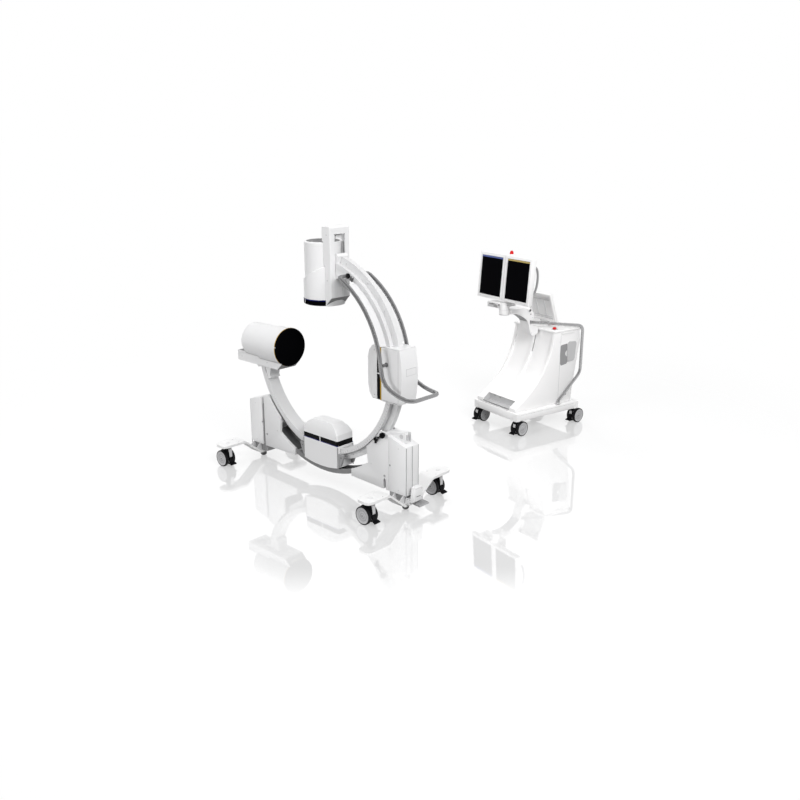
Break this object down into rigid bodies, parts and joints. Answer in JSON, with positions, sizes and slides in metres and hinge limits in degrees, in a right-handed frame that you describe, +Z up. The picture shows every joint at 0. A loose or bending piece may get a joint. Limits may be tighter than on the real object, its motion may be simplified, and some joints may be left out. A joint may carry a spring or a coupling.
{
  "type": "surgical x-ray system",
  "caption": "Mobile biplanar surgical x-ray stand: a G-shaped ring with crossed beam units on a wheeled lift frame, and a wheeled monitor cart.",
  "frame": {"origin": "on the floor, under the middle of the box around the stand and the cart", "axes": "+Z up; the ring's plane is XZ; +Y from the stand to the cart"},
  "size_m": [1.8414, 2.9489, 1.822],
  "materials": {
    "tyre_black": "matt",
    "caster_black": "matt",
    "brake_black": "matt",
    "leg_white": "satin",
    "mast_grey": "satin",
    "rail_steel": "satin",
    "handle_steel": "satin",
    "ring_aluminium": "satin",
    "gusset_white": "satin",
    "cradle_dark": "satin",
    "band_black": "gloss",
    "face_black": "satin",
    "screen_black": "gloss",
    "stop_red": "gloss",
    "pedal_grey": "matt",
    "lever_black": "gloss",
    "cart_white": "satin",
    "cover_white": "satin"
  },
  "bodies": {
    "stand": {"left_leg": "leg_white", "right_leg": "leg_white", "left_mast": "mast_grey", "right_mast": "mast_grey", "pedal_box": "cover_white"},
    "lift_frame": {"left_cover": "cover_white", "left_gusset": "gusset_white", "right_cover": "cover_white", "right_gusset": "gusset_white", "cradle": "cradle_dark", "guide_cap": "cover_white"},
    "ring_unit": {"ring": "ring_aluminium", "lower_tube_housing": "cover_white", "lower_tube_band": "band_black", "right_tube_housing": "cover_white", "right_tube_band": "band_black", "top_intensifier": "cover_white", "top_intensifier_face": "face_black", "top_tray": "cover_white", "left_intensifier": "cover_white", "left_intensifier_face": "face_black", "left_tray": "cover_white", "handrail": "rail_steel"},
    "brake_lever": {"brake_lever": "lever_black"},
    "foot_pedal": {"foot_pedal": "pedal_grey"},
    "cart": {"cart_base": "cart_white", "cart_body": "cart_white", "cart_deck": "cart_white", "push_handle": "handle_steel", "monitor_arm": "cart_white"},
    "monitor_yoke": {"monitor_yoke": "cart_white"},
    "monitor": {"monitor": "cart_white", "left_screen": "screen_black", "right_screen": "screen_black"},
    "operator_panel": {"operator_panel": "cart_white"},
    "emergency_stop": {"emergency_stop": "stop_red"},
    "stand_fl_fork": {"stand_fl_fork": "caster_black"},
    "stand_fl_wheels": {"stand_fl_wheels": "tyre_black"},
    "stand_fl_brake": {"stand_fl_brake": "brake_black"},
    "stand_fr_fork": {"stand_fr_fork": "caster_black"},
    "stand_fr_wheels": {"stand_fr_wheels": "tyre_black"},
    "stand_fr_brake": {"stand_fr_brake": "brake_black"},
    "stand_rl_fork": {"stand_rl_fork": "caster_black"},
    "stand_rl_wheels": {"stand_rl_wheels": "tyre_black"},
    "stand_rl_brake": {"stand_rl_brake": "brake_black"},
    "stand_rr_fork": {"stand_rr_fork": "caster_black"},
    "stand_rr_wheels": {"stand_rr_wheels": "tyre_black"},
    "stand_rr_brake": {"stand_rr_brake": "brake_black"},
    "cart_fl_fork": {"cart_fl_fork": "caster_black"},
    "cart_fl_wheels": {"cart_fl_wheels": "tyre_black"},
    "cart_fl_brake": {"cart_fl_brake": "brake_black"},
    "cart_fr_fork": {"cart_fr_fork": "caster_black"},
    "cart_fr_wheels": {"cart_fr_wheels": "tyre_black"},
    "cart_fr_brake": {"cart_fr_brake": "brake_black"},
    "cart_rl_fork": {"cart_rl_fork": "caster_black"},
    "cart_rl_wheels": {"cart_rl_wheels": "tyre_black"},
    "cart_rl_brake": {"cart_rl_brake": "brake_black"},
    "cart_rr_fork": {"cart_rr_fork": "caster_black"},
    "cart_rr_wheels": {"cart_rr_wheels": "tyre_black"},
    "cart_rr_brake": {"cart_rr_brake": "brake_black"}
  },
  "joints": [
    {"name": "column_lift", "type": "slide", "parent": "stand", "child": "lift_frame", "axis": [0, 0, 1], "range_m": [0, 0.25]},
    {"name": "ring_turn", "type": "hinge", "parent": "lift_frame", "child": "ring_unit", "pos_m": [-0.0207, -1.0694, 0.922], "axis": [0, 1, 0], "range_deg": [-14, 13]},
    {"name": "brake_lever_turn", "type": "hinge", "parent": "lift_frame", "child": "brake_lever", "pos_m": [0.5243, -1.1314, 0.462], "axis": [0, 1, 0], "range_deg": [-35, 40]},
    {"name": "foot_pedal_press", "type": "hinge", "parent": "stand", "child": "foot_pedal", "pos_m": [0.8249, -1.0694, 0.07], "axis": [0, 1, 0], "range_deg": [0, 12], "stiffness_Nm_per_rad": 4, "springref_deg": -6.88},
    {"name": "cart_roll", "type": "slide", "parent": "stand", "child": "cart", "axis": [0.2164, 0.9763, 0], "range_m": [-0.3, 1]},
    {"name": "monitor_swivel", "type": "hinge", "parent": "cart", "child": "monitor_yoke", "pos_m": [0.18115, 0.72308, 1.022], "axis": [0, 0, 1], "range_deg": [-75, 75]},
    {"name": "monitor_tilt", "type": "hinge", "parent": "monitor_yoke", "child": "monitor", "pos_m": [0.18968, 0.76155, 1.239], "axis": [0.9763, -0.2164, 0], "range_deg": [-15, 12]},
    {"name": "panel_tilt", "type": "hinge", "parent": "cart", "child": "operator_panel", "pos_m": [0.28201, 1.17804, 0.874], "axis": [0.9763, -0.2164, 0], "range_deg": [-20, 8]},
    {"name": "emergency_stop_press", "type": "slide", "parent": "cart", "child": "emergency_stop", "axis": [0, 0, -1], "range_m": [0, 0.004], "stiffness_N_per_m": 500, "springref_m": -0.002},
    {"name": "stand_fl_swivel", "type": "hinge", "parent": "stand", "child": "stand_fl_fork", "pos_m": [-0.7737, -1.4004, 0.15], "axis": [0, 0, 1], "continuous": true},
    {"name": "stand_fl_roll", "type": "hinge", "parent": "stand_fl_fork", "child": "stand_fl_wheels", "pos_m": [-0.8077, -1.4004, 0.0625], "axis": [0, -1, 0], "continuous": true},
    {"name": "stand_fl_brake_press", "type": "hinge", "parent": "stand_fl_fork", "child": "stand_fl_brake", "pos_m": [-0.75383, -1.4004, 0.06338], "axis": [0, -1, 0], "range_deg": [-12, 0]},
    {"name": "stand_fr_swivel", "type": "hinge", "parent": "stand", "child": "stand_fr_fork", "pos_m": [0.7323, -1.4004, 0.15], "axis": [0, 0, 1], "continuous": true},
    {"name": "stand_fr_roll", "type": "hinge", "parent": "stand_fr_fork", "child": "stand_fr_wheels", "pos_m": [0.6983, -1.4004, 0.0625], "axis": [0, -1, 0], "continuous": true},
    {"name": "stand_fr_brake_press", "type": "hinge", "parent": "stand_fr_fork", "child": "stand_fr_brake", "pos_m": [0.75217, -1.4004, 0.06338], "axis": [0, -1, 0], "range_deg": [-12, 0]},
    {"name": "stand_rl_swivel", "type": "hinge", "parent": "stand", "child": "stand_rl_fork", "pos_m": [-0.7737, -0.7384, 0.15], "axis": [0, 0, 1], "continuous": true},
    {"name": "stand_rl_roll", "type": "hinge", "parent": "stand_rl_fork", "child": "stand_rl_wheels", "pos_m": [-0.8077, -0.7384, 0.0625], "axis": [0, -1, 0], "continuous": true},
    {"name": "stand_rl_brake_press", "type": "hinge", "parent": "stand_rl_fork", "child": "stand_rl_brake", "pos_m": [-0.75383, -0.7384, 0.06338], "axis": [0, -1, 0], "range_deg": [-12, 0]},
    {"name": "stand_rr_swivel", "type": "hinge", "parent": "stand", "child": "stand_rr_fork", "pos_m": [0.7323, -0.7384, 0.15], "axis": [0, 0, 1], "continuous": true},
    {"name": "stand_rr_roll", "type": "hinge", "parent": "stand_rr_fork", "child": "stand_rr_wheels", "pos_m": [0.6983, -0.7384, 0.0625], "axis": [0, -1, 0], "continuous": true},
    {"name": "stand_rr_brake_press", "type": "hinge", "parent": "stand_rr_fork", "child": "stand_rr_brake", "pos_m": [0.75217, -0.7384, 0.06338], "axis": [0, -1, 0], "range_deg": [-12, 0]},
    {"name": "cart_fl_swivel", "type": "hinge", "parent": "cart", "child": "cart_fl_fork", "pos_m": [-0.06247, 0.74227, 0.13], "axis": [0, 0, 1], "continuous": true},
    {"name": "cart_fl_roll", "type": "hinge", "parent": "cart_fl_fork", "child": "cart_fl_wheels", "pos_m": [-0.05921, 0.77611, 0.0625], "axis": [-0.9954, 0.0958, 0], "continuous": true},
    {"name": "cart_fl_brake_press", "type": "hinge", "parent": "cart_fl_fork", "child": "cart_fl_brake", "pos_m": [-0.06437, 0.72249, 0.06338], "axis": [-0.9954, 0.0958, 0], "range_deg": [-12, 0]},
    {"name": "cart_fr_swivel", "type": "hinge", "parent": "cart", "child": "cart_fr_fork", "pos_m": [0.41006, 0.63751, 0.13], "axis": [0, 0, 1], "continuous": true},
    {"name": "cart_fr_roll", "type": "hinge", "parent": "cart_fr_fork", "child": "cart_fr_wheels", "pos_m": [0.41332, 0.67135, 0.0625], "axis": [-0.9954, 0.0958, 0], "continuous": true},
    {"name": "cart_fr_brake_press", "type": "hinge", "parent": "cart_fr_fork", "child": "cart_fr_brake", "pos_m": [0.40815, 0.61773, 0.06338], "axis": [-0.9954, 0.0958, 0], "range_deg": [-12, 0]},
    {"name": "cart_rl_swivel", "type": "hinge", "parent": "cart", "child": "cart_rl_fork", "pos_m": [0.07778, 1.37491, 0.13], "axis": [0, 0, 1], "continuous": true},
    {"name": "cart_rl_roll", "type": "hinge", "parent": "cart_rl_fork", "child": "cart_rl_wheels", "pos_m": [0.08104, 1.40875, 0.0625], "axis": [-0.9954, 0.0958, 0], "continuous": true},
    {"name": "cart_rl_brake_press", "type": "hinge", "parent": "cart_rl_fork", "child": "cart_rl_brake", "pos_m": [0.07588, 1.35513, 0.06338], "axis": [-0.9954, 0.0958, 0], "range_deg": [-12, 0]},
    {"name": "cart_rr_swivel", "type": "hinge", "parent": "cart", "child": "cart_rr_fork", "pos_m": [0.55031, 1.27015, 0.13], "axis": [0, 0, 1], "continuous": true},
    {"name": "cart_rr_roll", "type": "hinge", "parent": "cart_rr_fork", "child": "cart_rr_wheels", "pos_m": [0.55357, 1.30399, 0.0625], "axis": [-0.9954, 0.0958, 0], "continuous": true},
    {"name": "cart_rr_brake_press", "type": "hinge", "parent": "cart_rr_fork", "child": "cart_rr_brake", "pos_m": [0.54841, 1.25037, 0.06338], "axis": [-0.9954, 0.0958, 0], "range_deg": [-12, 0]}
  ]
}
